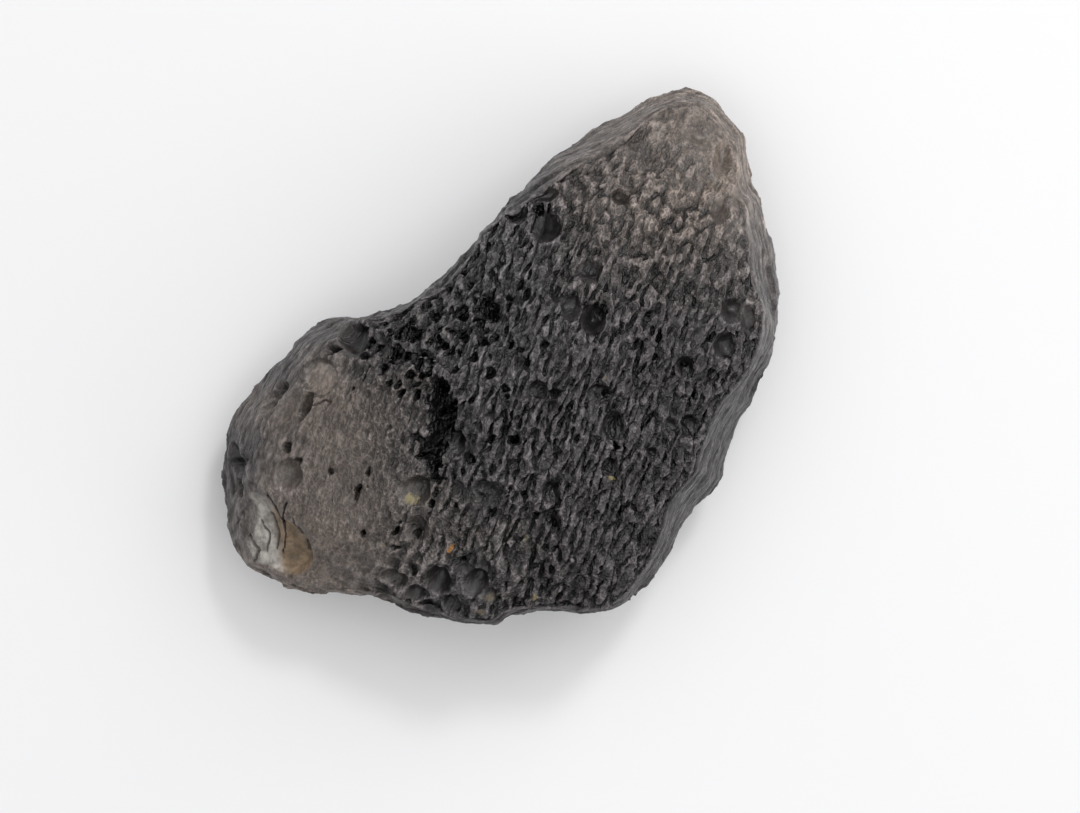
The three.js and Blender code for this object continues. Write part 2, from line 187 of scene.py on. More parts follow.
# Small ledges, as steps of the skin, with painted shade along them: four round the chip and one by the
# saddle.
LEDGES = (
    ((-18.9, -12.6, 0.1), (-18.2, -14.2, 0.2), (-18.5, -15.6, 0.1)),
    ((-19.7, -13.2, 0.08), (-19, -14.6, 0.16), (-19.3, -15.8, 0.08)),
    ((-20.7, -14.4, 0.1), (-19.9, -15.6, 0.22), (-20.2, -16.6, 0.15)),
    ((-16.6, -13, 0.1), (-15.7, -14.2, 0.2), (-15.5, -15.8, 0.12)),
    ((-15, -3.9, 0.05), (-14.3, -3.5, 0.14), (-13.2, -3.6, 0.05)),
)
LEDGE_DEPTH = 0.22

# Grains and dried sediment on the top: x, y, half width, half length, turn from +Y, and colour.
SPECKS = (
    (-6.9, -11.3, 0.65, 0.6, 0, "sediment"),
    (8.7, -9.6, 0.42, 0.2, -20, "sediment"),
    (2, -14.3, 0.2, 0.42, -20, "sediment"),
    (2.7, -19, 0.25, 0.4, -20, "sediment"),
    (-1.6, -20.2, 0.55, 0.3, 0, "silt"),
    (-0.8, -19, 0.5, 0.45, 0, "silt"),
    (8.2, -1.8, 0.3, 0.18, 0, "silt"),
    (-9.2, -14.9, 0.2, 0.2, 0, "silt"),
    (-3.9, -15.1, 0.24, 0.42, -35, "rust"),
)

# The smooth face of the left lobe: x, y, half width, half length; and its soft edge.
SMOOTH_FACE = (-11.2, -9.7, 4.8, 8.0)
FACE_EDGE = (1.05, 0.9)


# ---- The smooth lump ----


def sphere_mesh(steps):
    """The directions and triangles of an icosahedron whose edges are cut into that many steps."""
    solid = bmesh.new()
    bmesh.ops.create_icosphere(solid, subdivisions=1, radius=1)
    corners = np.array([v.co for v in solid.verts])
    corner_faces = np.array([[v.index for v in f.verts] for f in solid.faces])
    solid.free()
    i, j = np.meshgrid(np.arange(steps + 1), np.arange(steps + 1), indexing="ij")
    inside = i + j <= steps
    i, j = i[inside], j[inside]
    number = np.full((steps + 2, steps + 2), -1)
    number[i, j] = np.arange(len(i))
    right, left = number[i + 1, j], number[i, j + 1]
    up = np.stack([number[i, j], right, left], 1)[i + j < steps]
    down = np.stack([right, number[i + 1, j + 1], left], 1)[i + j < steps - 1]
    small = np.concatenate([up, down])
    weights = np.stack([steps - i - j, i, j], 1) / steps
    points = np.concatenate([weights @ corners[face] for face in corner_faces])
    faces = np.concatenate([small + n * len(i) for n in range(len(corner_faces))])
    # Adding zero makes plain zeros of minus zeros, so that shared points are the same.
    rounded = np.round(points, 7) + 0.0
    _, first, same = np.unique(rounded, axis=0, return_index=True, return_inverse=True)
    directions = points[first]
    directions /= norm(directions, axis=1, keepdims=True)
    return directions, same.reshape(-1)[faces]


def catmull_rom(points, steps):
    """A closed curve through the points, with that many steps between each two."""
    points = np.array(points, float)
    a, b, c, d = (np.roll(points, n, 0)[:, None] for n in (1, 0, -1, -2))
    t = np.linspace(0, 1, steps, endpoint=False)[None, :, None]
    cubic = -a + 3 * b - 3 * c + d
    square = 2 * a - 5 * b + 4 * c - d
    return (0.5 * (2 * b + (c - a) * t + square * t**2 + cubic * t**3)).reshape(-1, 2)


RIM_CURVE = catmull_rom(OUTLINE, steps=60)
RIM_LOOP = np.concatenate([RIM_CURVE, RIM_CURVE[:1]])
RIM_LENGTHS = np.concatenate([[0], np.cumsum(norm(np.diff(RIM_LOOP, axis=0), axis=1))])


def outline_at(part):
    length = np.mod(part, 1) * RIM_LENGTHS[-1]
    return np.stack([np.interp(length, RIM_LENGTHS, RIM_LOOP[:, k]) for k in (0, 1)], 1)


def profile_at(bearing):
    """Rim height, bevel width, crest height and foot reach at each bearing, eased between two."""
    rows = np.vstack([PROFILES, PROFILES[:1] + np.array([360, 0, 0, 0, 0])])
    turn = np.mod(bearing, 360)
    before = np.clip(np.searchsorted(rows[:, 0], turn, side="right") - 1, 0, len(rows) - 2)
    t = (turn - rows[before, 0]) / (rows[before + 1, 0] - rows[before, 0])
    t = (t * t * (3 - 2 * t))[:, None]
    return (rows[before, 1:] * (1 - t) + rows[before + 1, 1:] * t).T


def swell_at(x, y):
    return sum(
        rise * np.exp(-(((x - sx) ** 2 + (y - sy) ** 2) / reach**2)) for sx, sy, reach, rise in SWELLS
    )


def skin_points(directions, ends=(TOP_END, BEVEL_END, FLANK_END)):
    """The smooth lump's points for directions from the middle of a sphere."""
    top_end, bevel_end, flank_end = ends
    share = (1 - directions[:, 2]) / 2
    edge = outline_at(np.arctan2(directions[:, 1], directions[:, 0]) / TAU)
    spoke = edge - CROWN
    reach = norm(spoke, axis=1)
    rim, bevel, crest, foot = profile_at(np.degrees(np.arctan2(spoke[:, 1], spoke[:, 0])))

    part = np.sqrt(np.clip(share / top_end, 0, 1))
    top_out = (reach - bevel) * part
    place = CROWN + spoke * (top_out / reach)[:, None]
    dome = (CROWN_HEIGHT - crest) * (1 - part**DOME_POWER)
    top_z = crest + dome + swell_at(place[:, 0], place[:, 1]) * (1 - part**SWELL_POWER)

    part = (share - top_end) / (bevel_end - top_end)
    bevel_out = reach - bevel * (1 - part)
    bevel_z = crest + (rim - crest) * part

    part = np.clip((share - bevel_end) / (flank_end - bevel_end), 0, 1)
    angle = part**FLANK_EASE * math.pi / 2
    flank_out = foot + (reach - foot) * np.cos(angle)
    flank_z = rim * (1 - np.sin(angle))

    foot_out = foot * np.sqrt((1 - share) / (1 - flank_end))
    zones = [share < top_end, share < bevel_end, share < flank_end]
    out = np.select(zones, [top_out, bevel_out, flank_out], foot_out)
    height = np.select(zones, [top_z, bevel_z, flank_z], 0.0)
    return np.column_stack([CROWN + spoke * (out / reach)[:, None], height])


def face_normals(points, faces):
    a, b, c = (points[faces[:, k]] for k in range(3))
    return np.cross(b - a, c - a)


def point_normals(points, faces):
    """Unit normals of the points, from the faces round them."""
    across = face_normals(points, faces)
    total = np.stack(
        [sum(np.bincount(faces[:, k], across[:, n], len(points)) for k in range(3)) for n in range(3)], 1
    )
    return total / norm(total, axis=1, keepdims=True)


def edges_of(faces):
    pairs = np.sort(np.concatenate([faces[:, [0, 1]], faces[:, [1, 2]], faces[:, [2, 0]]]), axis=1)
    return np.unique(pairs, axis=0)


def smoothed(values, edges, rounds):
    """Values with each point's drawn halfway to the mean of its neighbours', that many times."""
    values = np.array(values, float)
    flat = values.reshape(len(values), -1)
    count = np.bincount(edges.ravel(), minlength=len(values))[:, None]
    for _ in range(rounds):
        total = np.zeros_like(flat)
        for k in range(flat.shape[1]):
            total[:, k] = np.bincount(edges[:, 0], flat[edges[:, 1], k], len(values))
            total[:, k] += np.bincount(edges[:, 1], flat[edges[:, 0], k], len(values))
        flat = flat + 0.5 * (total / count - flat)
    return flat.reshape(values.shape)


# ---- What is bitten out of it ----

# The solid's own zone ends, for its broad dents, and the place that they leave alone.
SOLID_ENDS = (0.4, 0.54, 0.93)
WORN_FOOT = (2.5, -2.5, 3.5)

# The kinds of skin, each with: half width and depth of its coarse pits; half width, length to width
# and depth of its fine pits; grit; the share of deep holes; the depth of its lumps and clefts in
# millimetres, and of its waves. The pits' depths are parts of their half widths.
SKINS = dict(
    satin=(0.8, 0.1, 0.4, 2, 0.1, 0.28, 0, 0.06, 0.03, 0.5),
    flowing=(0.6, 0.22, 0.34, 2.2, 0.22, 0.6, 0, 0.1, 0.1, 0.7),
    streaked=(0.8, 0.2, 0.3, 5, 0.5, 0.35, 0, 0, 0.12, 0.6),
    blobby=(0.65, 0.18, 0.3, 1.8, 0.08, 0.7, 0.004, 0.5, 0.05, 0.8),
    grainy=(0.65, 0.18, 0.3, 2.4, 0.16, 1, 0.006, 0.46, 0.28, 1),
    leaning=(0.8, 0.15, 0.26, 3.6, 0.25, 1.25, 0.02, 0.12, 0.62, 1.1),
    crumbly=(0.75, 0.18, 0.28, 2.8, 0.25, 1.25, 0.035, 0.14, 0.54, 1.1),
    spongy=(0.45, 0.6, 0.28, 1.4, 0.5, 1, 0.75, 0, 0.1, 1),
    smooth=(0.8, 0.06, 0.28, 1.6, 0.16, 0.38, 0.002, 0, 0.05, 0.5),
    pocked=(0.45, 0.22, 0.22, 1.6, 0.5, 0.8, 0.1, 0, 0.16, 0.6),
    bowled=(0.8, 0.55, 0.26, 1.8, 0.28, 0.6, 0.005, 0, 0.12, 1.1),
    edge=(1.2, 0.08, 0.4, 6, 0.46, 0.3, 0, 0, 0, 0.3),
    side=(1, 0.22, 0.38, 3.5, 0.32, 0.5, 0.002, 0, 0, 0.7),
    foot=(0.9, 0.35, 0.4, 1.1, 0.4, 0.5, 0.002, 0, 0, 1),
)
# Its columns.
COARSE_WIDTH, COARSE_DEPTH, FINE_WIDTH, FINE_LENGTH, FINE_DEPTH = range(5)
GRIT, HOLED, LUMPS, CLEFTS, WAVED = range(5, 10)

# Where each kind lies on the top: x, y, reach, kind, how pale the glass is painted there, and how warm.
# The paleness is partly the glass's own tone and partly painted sheen and light where the tip and the
# right-hand edge face the lamps.
PATCHES = (
    # the tip, and the strip behind the right crest
    (16, 18.5, 3.2, "satin", 0.72, 0.9),
    (18.3, 14, 2.4, "satin", 0.8, 0.9),
    (20, 9, 2.2, "flowing", 0.46, 0.5),
    (21, 4, 2, "flowing", 0.35, 0.3),
    # the upper right, down to the right end
    (11.5, 15.5, 3.5, "flowing", 0.44, 0.8),
    (13.5, 12, 3.5, "blobby", 0.62, 1),
    (13.5, 8, 3.5, "grainy", 0.3, 1),
    (16, 4.5, 3.5, "grainy", 0.1, 0.6),
    (14, 0.5, 3.5, "leaning", 0.05, 0.4),
    (13.5, -4.5, 4.5, "leaning", 0.05, 0.3),
    # the middle
    (8, 11, 3.5, "blobby", 0.28, 0.8),
    (9, 5, 3.5, "grainy", 0.1, 0.6),
    (7, -4, 4.5, "leaning", 0.05, 0.2),
    (2.5, 2, 4, "crumbly", 0.18, 0.1),
    (0, -6, 4.5, "crumbly", 0.08, 0.1),
    (-1.8, -1.2, 2.2, "crumbly", 0.36, 0.1),
    (2, 9, 3, "crumbly", 0.14, 0),
    (-1.8, 7.5, 2.5, "crumbly", 0.28, 0),
    # the saddle
    (-3, 3, 3, "spongy", 0.24, 0.1),
    (-6, 0, 3, "spongy", 0.14, 0.5),
    (-9.5, 1, 2.5, "spongy", 0.08, 0.2),
    # the lower right and the front
    (9, -11, 4.5, "leaning", 0.05, 0.4),
    (6, -16.5, 4.5, "leaning", 0.05, 0.6),
    (0.5, -14, 4, "crumbly", 0.22, 0.5),
    (-3, -18.5, 2.5, "bowled", 0.05, 0.3),
    (-8, -17.5, 2.5, "bowled", 0.14, 0.5),
    # the left lobe: its smooth face, then the strip outside it
    (-10, -4, 3, "smooth", 0.5, 0.9),
    (-12.5, -9, 3.5, "smooth", 0.52, 0.8),
    (-11.5, -14.5, 3.5, "smooth", 0.58, 0.9),
    (-14.8, -16.3, 2, "smooth", 0.85, 0.9),
    (-7, -6.5, 2.5, "pocked", 0.2, 0.4),
    (-8.8, -3.5, 2, "pocked", 0.42, 0.8),
    (-13.5, -5, 2, "smooth", 0.66, 1),
    (-5.5, -13.5, 3, "pocked", 0.42, 0.6),
    (-17, -5.5, 3, "streaked", 0.46, 0.6),
    (-17.5, -11, 2.4, "smooth", 0.8, 0.8),
    (-21.5, -8.5, 2.2, "streaked", 0.06, 0.3),
    (-20.5, -12.5, 1.5, "streaked", 0.44, 0.4),
    (-14.5, 0.5, 2.5, "streaked", 0.16, 0.4),
    (-14.4, -1.6, 1.3, "smooth", 2.6, 1),
    (-16.4, -1.6, 1.3, "streaked", 0.02, 0.3),
    (-17.3, -4.9, 1.3, "smooth", 0.7, 0.9),
    (-11.8, 1.5, 1.6, "smooth", 0.3, 0.8),
)
PATCH_FALLOFF = 0.7

# The z of the skin's normal where each of these starts and where it is whole.
TOP_SKIN, EDGE_SKIN, FOOT_SKIN = (0.35, 0.7), (0.1, 0.3), (-0.5, -0.9)
LEANING_GRAIN = (0.45, 0.8)
NAMED_PITS = (0.15, 0.35)
SIDE_PAINT, FLANK_PAINT = (0.7, 0.35), (0.3, 0.1)

# The pits of the top lean this way, and those of the sides run along the outline.
TOP_GRAIN = np.array((0.35, 0.94, 0.0))
GRAIN_WANDER = 0.2
# How close the pits crowd, as a part of the radii of two neighbours; how many places are tried;
# and how much their widths, lengths and depths differ.
COARSE_PITS = dict(spacing=0.85, tries=12_000, spread=0.30, lengths=(0.9, 1.5), depths=(0.4, 1.4))
FINE_PITS = dict(spacing=0.62, tries=150_000, spread=0.25, lengths=(0.4, 1.6), depths=(0.5, 1.4))
# What faces up this far is the top, and the rest gets that many times fewer tries.
TOP_FACING, FEWER_BELOW = 0.3, 3
PIT_SEED = 21
# Without a seed of their own, Blender's noise vectors start from the clock.
NOISE_SEED = 4
WAVES = dict(count=900, smallest=0.9, largest=1.7, depth_of_radius=0.20)

# Cells that lean with the grain: their sizes across, along and into the skin, and their shift.
CELLS = dict(
    lumps=((0.95, 1.60, 1.2), 3.0),
    clefts=((0.80, 2.60, 1.3), 5.0),
    holes=((0.65, 1.0, 0.7), 7.0),
)
# This gives neighbouring cells random numbers of their own.
OWN_STRETCH = 7
# How far from a lump's middle the valley is whole, and the least share of its depth.
LUMP_REACH, LUMP_LEAST = 0.62, 0.4
# A cleft's half width in millimetres, the depth of a closed one, and what opening adds.
CLEFT_REACH = 0.21
CLEFT_CLOSED, CLEFT_OPENING = 0.25, 0.9
# Where in their noise the clefts open, and how far in each country.
OPENS_BETWEEN, COUNTRY_BETWEEN = (-0.45, 0.35), (-0.3, 0.3)
COUNTRY_LEAST, COUNTRY_MORE = 0.6, 0.6
# The edge and the floor of a cell's hole, from the cell's middle, and its depth.
CELL_HOLE = (0.5, 0.08)
CELL_HOLE_DEPTH = 1.5
# The depth of the clefts that cross the fissure.
FISSURE_CLEFTS = 0.8
# How much of the waves the smooth face loses, and of the fine relief a coarse pit's floor, which
# starts at this part of its depth.
FACE_CALM, FLOOR_CALM, FLOOR_STARTS = 0.8, 0.5, 0.3

# The noises: strength, length of the waves in millimetres, and shift.
WAVY, WAVY_FINE = (0.14, 1.1, 3), (0.06, 0.4, 5)
RAGGED, RAGGED_FINE = (0.5, 0.8, 15), (0.25, 0.35, 17)
UNEVEN, UNEVEN_FINE = (1, 1.0, 19), (0.5, 0.3, 23)
GRITTY = (0.09, 0.3, 7)
CLEFT_BENDS, CLEFT_OPENS, CLEFT_COUNTRY = (0.1, 0.5, 11), (1, 0.9, 13), (1, 3.5, 29)
NOISE_SHIFT = (1, 0.7, 0.3)

# How dark the painted shade makes bowls and rims, how light the painted highlight makes lips, and how
# much of it the flanks lose.
BOWL_DARK, RIM_DARK, LIP_LIGHT, FLANK_LOSS = 0.08, 0.1, 0.08, 0.6
# The smooth lump stands this much proud, so that the pitted one keeps the outline.
PROUD = 0.25


def random_from(seed):
    """The solid's seeded random numbers from 0 to 1 (mulberry32)."""
    whole = 0xFFFFFFFF
    state = seed
    while True:
        state = (state + 0x6D2B79F5) & whole
        mixed = ((state ^ (state >> 15)) * (state | 1)) & whole
        mixed ^= (mixed + (mixed ^ (mixed >> 7)) * (mixed | 61)) & whole
        yield (mixed ^ (mixed >> 14)) / 2**32


def ellipse_away(places, ellipse, turn=0):
    """How far each place is from an ellipse's middle: 1 on its edge."""
    x, y = (places[:, :2] - ellipse[:2]).T
    c, s = math.cos(math.radians(turn)), math.sin(math.radians(turn))
    return np.hypot((x * c + y * s) / ellipse[2], (-x * s + y * c) / ellipse[3])


def ease(values, low, high):
    """0 below low, 1 above high and smooth between, for low under or over high."""
    t = np.clip((values - low) / (high - low), 0, 1)
    return t * t * (3 - 2 * t)


def sunk_by(bowls, tree, points):
    """How deep the deepest of the bowls is at each point that the tree holds."""
    middles, normals, grains, widths, lengths, depths = bowls
    alongs = grains - normals * np.sum(grains * normals, 1, keepdims=True)
    alongs /= norm(alongs, axis=1, keepdims=True)
    acrosses = np.cross(normals, alongs)
    deepest = np.zeros(len(points))
    for n, (middle, reach) in enumerate(zip(middles, np.maximum(widths, lengths))):
        near = [index for _, index, _ in tree.find_range(middle, reach)]
        if near:
            offset = points[near] - middle
            across = offset @ acrosses[n] / widths[n]
            along = offset @ alongs[n] / lengths[n]
            bowl = depths[n] * (1 - (across**2 + along**2))
            deepest[near] = np.maximum(deepest[near], bowl)
    return deepest


def round_bowls(middles, radii, depth_of_radius):
    up = np.tile((0.0, 0.0, 1.0), (len(middles), 1))
    side = np.tile((0.0, 1.0, 0.0), (len(middles), 1))
    return middles, up, side, radii, radii, radii * depth_of_radius


def dents_of_the_solid():
    """The broad dents, the same as the solid's."""
    random = random_from(DENTS["seed"])
    draws = np.array([[next(random) for _ in range(3)] for _ in range(DENTS["count"])])
    z = 1 - 2 * draws[:, 0]
    level = np.sqrt(1 - z * z)
    longitude = TAU * draws[:, 1]
    directions = np.column_stack([level * np.cos(longitude), level * np.sin(longitude), z])
    middles = skin_points(directions, SOLID_ENDS)
    radii = DENTS["smallest"] + (DENTS["largest"] - DENTS["smallest"]) * draws[:, 2] ** 2
    on_face = (middles[:, 2] > CROWN_HEIGHT / 2) & (ellipse_away(middles, SMOOTH_FACE) < 1)
    worn = (middles[:, 2] == 0) & (np.hypot(*(middles[:, :2] - WORN_FOOT[:2]).T) < WORN_FOOT[2])
    kept = ~on_face & ~worn
    return round_bowls(middles[kept], radii[kept], DENTS["depth_of_radius"])


def points_on(points, faces, count, random):
    """Random places all over a skin, even by area, with the skin's normals there."""
    across = face_normals(points, faces)
    areas = norm(across, axis=1)
    chosen = random.choice(len(faces), count, p=areas / areas.sum())
    u, v = random.random((2, count))
    u, v = np.where(u + v > 1, 1 - u, u), np.where(u + v > 1, 1 - v, v)
    a, b, c = (points[faces[chosen, k]] for k in range(3))
    return a + (b - a) * u[:, None] + (c - a) * v[:, None], across[chosen] / areas[chosen, None]


def patch_shares(places):
    """How much each patch of the top counts at each place."""
    offsets = [(places[:, 0] - p[0]) ** 2 + (places[:, 1] - p[1]) ** 2 for p in PATCHES]
    weights = np.array([np.exp(-PATCH_FALLOFF * far / p[2] ** 2) for far, p in zip(offsets, PATCHES)])
    weights += 1e-9  # where every patch is far away, they share the place
    return (weights / weights.sum(0)).T


def skin_at(places, normals):
    """The row of SKINS for each place, blended."""
    top = patch_shares(places) @ np.array([SKINS[p[3]] for p in PATCHES])
    up = normals[:, 2:]
    on_top, on_edge, on_foot = ease(up, *TOP_SKIN), ease(up, *EDGE_SKIN), ease(up, *FOOT_SKIN)
    below = np.array(SKINS["side"]) * (1 - on_foot) + np.array(SKINS["foot"]) * on_foot
    below = below * (1 - on_edge) + np.array(SKINS["edge"]) * on_edge
    return top * on_top + below * (1 - on_top)


def grain_at(normals, random):
    """The way the pits run: leaning across the top, and along the outline on the sides."""
    on_top = ease(normals[:, 2:], *LEANING_GRAIN)
    along_edge = np.cross((0.0, 0.0, 1.0), normals)
    along_edge *= np.sign(along_edge @ TOP_GRAIN)[:, None]
    steady = TOP_GRAIN * on_top + along_edge * (1 - on_top)
    return steady + GRAIN_WANDER * random.normal(size=normals.shape)


def spread_out(places, radii, spacing):
    """The numbers of the places that keep their distance from all earlier ones."""
    keys = np.floor(places / (2 * spacing * radii.max())).astype(int)
    grid = {}
    kept = []
    for n, (place, radius, key) in enumerate(zip(places.tolist(), radii.tolist(), keys.tolist())):
        cells = itertools.product(*((k - 1, k, k + 1) for k in key))
        near = (other for cell in cells for other in grid.get(cell, ()))
        if all(math.dist(place, other) >= spacing * (radius + reach) for other, reach in near):
            grid.setdefault(tuple(key), []).append((place, radius))
            kept.append(n)
    return np.array(kept)


def crowded(places, normals, column, pits, random):
    """The places that keep their distance, with their normals, kinds of skin and half widths."""
    looks = skin_at(places, normals)
    widths = looks[:, column] * np.exp(random.normal(0, pits["spread"], len(places)))
    kept = spread_out(places, widths, pits["spacing"])
    return places[kept], normals[kept], looks[kept], widths[kept]


def coarse_pits(points, faces, random):
    """Round shallow pits, laid out so that they crowd but seldom overlap."""
    sown = points_on(points, faces, COARSE_PITS["tries"], random)
    places, normals, looks, widths = crowded(*sown, COARSE_WIDTH, COARSE_PITS, random)
    lengths = widths * random.uniform(*COARSE_PITS["lengths"], len(places))
    depths = widths * looks[:, COARSE_DEPTH] * random.uniform(*COARSE_PITS["depths"], len(places))
    return places, normals, grain_at(normals, random), widths, lengths, depths


def fine_pits(points, faces, random):
    tops = face_normals(points, faces)
    tops = tops[:, 2] > TOP_FACING * norm(tops, axis=1)
    on_top = points_on(points, faces[tops], FINE_PITS["tries"], random)
    on_side = points_on(points, faces[~tops], FINE_PITS["tries"] // FEWER_BELOW, random)
    sown = (np.concatenate(pair) for pair in zip(on_top, on_side))
    places, normals, looks, widths = crowded(*sown, FINE_WIDTH, FINE_PITS, random)
    longer = (looks[:, FINE_LENGTH] - 1) * random.uniform(*FINE_PITS["lengths"], len(places))
    depths = widths * looks[:, FINE_DEPTH] * random.uniform(*FINE_PITS["depths"], len(places))
    return places, normals, grain_at(normals, random), widths, widths * (1 + longer), depths


def pits_of_the_top(places):
    """How deep the named bowls and pans are at each place, how dark the painted shade on the pans' rims
    is, how light the painted highlight on the bowls' lips is, and how smooth they leave the skin."""
    bowls, pans, rims, lips, smooth = np.zeros((5, len(places)))
    for x, y, width, length, depth, smoothness, *turn in PITS:
        away = ellipse_away(places, (x, y, width, length), *turn)
        if smoothness == 1:
            pans = np.maximum(pans, PIT_DEEPER * depth * ease(away, *PAN_WALL))
            rim = PAN_RIM_DARK * depth * ease(away, *PAN_RIM[0]) * ease(away, *PAN_RIM[1])
            rims = np.maximum(rims, rim)
        else:
            to_wall = (places[:, 0] - x) * STEEP_WALL[0] + (places[:, 1] - y) * STEEP_WALL[1]
            steep = 1 + STEEPER * (to_wall / max(width, length))
            bowls = np.maximum(bowls, PIT_DEEPER * depth * np.maximum(1 - away**2, 0) * steep)
            lips = np.maximum(lips, smoothness * ease(np.abs(away - LIP_AWAY), *LIP_WIDTH))
        smooth = np.maximum(smooth, smoothness * ease(away, *PIT_CALM))
    return bowls, pans, rims, lips, smooth


def holes_of_the_top(places):
    deepest = np.zeros(len(places))
    for x, y, width, length, *turn in HOLES:
        away = ellipse_away(places, (x, y, width, length), *turn)
        depth = HOLE_DEPTH_OF_RADIUS * min(width, length)
        deepest = np.maximum(deepest, depth * (1 - away**HOLE_ROUNDNESS))
    return deepest


def inside_route(places, *routes):
    """How far inside the routes each place is, from 0 on their edges to 1 on their middle lines."""
    x, y = places[:, 0], places[:, 1]
    inside = np.zeros(len(places))
    for route in routes:
        for (ax, ay, a_width), (bx, by, b_width) in zip(route, route[1:]):
            step = np.array((bx - ax, by - ay))
            t = np.clip(((x - ax) * step[0] + (y - ay) * step[1]) / (step @ step), 0, 1)
            away = np.hypot(x - ax - t * step[0], y - ay - t * step[1])
            inside = np.maximum(inside, 1 - away / (a_width + (b_width - a_width) * t))
    return inside


def noise_at(points, waves):
    """Three smooth random numbers for each point, from about -1 to 1 times the strength."""
    strength, length, far = waves
    shift = Vector([far * part for part in NOISE_SHIFT])
    return strength * np.array([noise.noise_vector(Vector(p) / length + shift) for p in points.tolist()])


def facing(bearing, slope):
    """The way that a face of this bearing and slope faces."""
    turn, tilt = math.radians(bearing), math.radians(slope)
    level = math.sin(tilt)
    return np.array((math.cos(turn) * level, math.sin(turn) * level, math.cos(tilt)))


def chipped(points):
    """The points with what stands over the chip's flat faces cut off, and how deep the cut is."""
    depth = np.zeros(len(points))
    uneven = (noise_at(points, UNEVEN) + noise_at(points, UNEVEN_FINE))[:, 2]
    for middle, bearing, slope, reach in CHIP_FACES:
        out = facing(bearing, slope)
        offset = points - middle
        away = norm(offset, axis=1)
        ripple = CHIP_RIPPLE * (np.sin(TAU * away / CHIP_RIPPLE_LENGTH) + 2 * uneven)
        above = np.maximum(offset @ out + ripple, 0) * ease(away, reach, reach * CHIP_CORE)
        points = points - out * above[:, None]
        depth = np.maximum(depth, above)
    return points, depth


def cells_at(points, kind):
    """Cells that lean with the grain. For each point: how far it is from its cell's middle, in cells,
    and from the next cell, in millimetres; how much their border runs with the grain, from 0 to 1;
    and a random number of the cell's own."""
    sizes, shift = CELLS[kind]
    lean = TOP_GRAIN / norm(TOP_GRAIN)
    across = np.cross(lean, (0.0, 0.0, 1.0))
    turned = np.column_stack([points @ across, points @ lean, points[:, 2]]) / sizes + shift
    cells = [noise.voronoi(place) for place in turned.tolist()]
    nearest, second = np.array([distances[:2] for distances, _ in cells]).T
    middles = np.array([places[:2] for _, places in cells])
    own = np.array([0.5 + 0.5 * noise.cell(places[0] * OWN_STRETCH) for _, places in cells])
    between = middles[:, 1] - middles[:, 0]
    length = norm(between, axis=1)
    to_border = (second**2 - nearest**2) / (2 * length)
    across_border = between / length[:, None] / sizes
    steepness = norm(across_border, axis=1)
    return nearest, to_border / steepness, np.abs(across_border[:, 0]) / steepness, own


def tree_of(points):
    tree = kdtree.KDTree(len(points))
    for n, point in enumerate(points.tolist()):
        tree.insert(point, n)
    tree.balance()
    return tree


def smooth_skin():
    """The smooth lump, a little proud: its points, faces, edges and normals."""
    directions, faces = sphere_mesh(SPHERE_EDGE_STEPS)
    points = skin_points(directions)
    edges = edges_of(faces)
    on_floor = points[:, 2] == 0
    points = smoothed(points, edges, rounds=6)
    points[on_floor, 2] = 0
    normals = smoothed(point_normals(points, faces), edges, rounds=4)
    normals /= norm(normals, axis=1, keepdims=True)
    return points + normals * PROUD, faces, edges, normals


def random_relief(points, faces, wavering):
    """How deep the broad dents, the waves, the coarse pits and the fine ones are at each point."""
    random = np.random.default_rng(PIT_SEED)
    tree = tree_of(wavering)
    places, _ = points_on(points, faces, WAVES["count"], random)
    radii = random.uniform(WAVES["smallest"], WAVES["largest"], len(places))
    waves = round_bowls(places, radii, WAVES["depth_of_radius"])
    pits = coarse_pits(points, faces, random), fine_pits(points, faces, random)
    return [sunk_by(bowls, tree, wavering) for bowls in (dents_of_the_solid(), waves, *pits)]


def lumps_and_clefts(points, wavering, skin):
    """How deep the lumps' valleys and the clefts are at each point, and how far inside a cleft it is."""
    from_middle, _, _, own = cells_at(wavering, "lumps")
    lumps = ease(from_middle, 0, LUMP_REACH) * skin[:, LUMPS] * (LUMP_LEAST + (1 - LUMP_LEAST) * own)
    _, gap, with_grain, _ = cells_at(wavering + noise_at(points, CLEFT_BENDS), "clefts")
    inside = np.exp(-((gap / CLEFT_REACH) ** 2)) * with_grain**2
    opened = ease(noise_at(points, CLEFT_OPENS)[:, 1], *OPENS_BETWEEN)
    country = ease(noise_at(points, CLEFT_COUNTRY)[:, 1], *COUNTRY_BETWEEN)
    opened *= COUNTRY_LEAST + COUNTRY_MORE * country
    return lumps, inside * skin[:, CLEFTS] * (CLEFT_CLOSED + CLEFT_OPENING * opened), inside


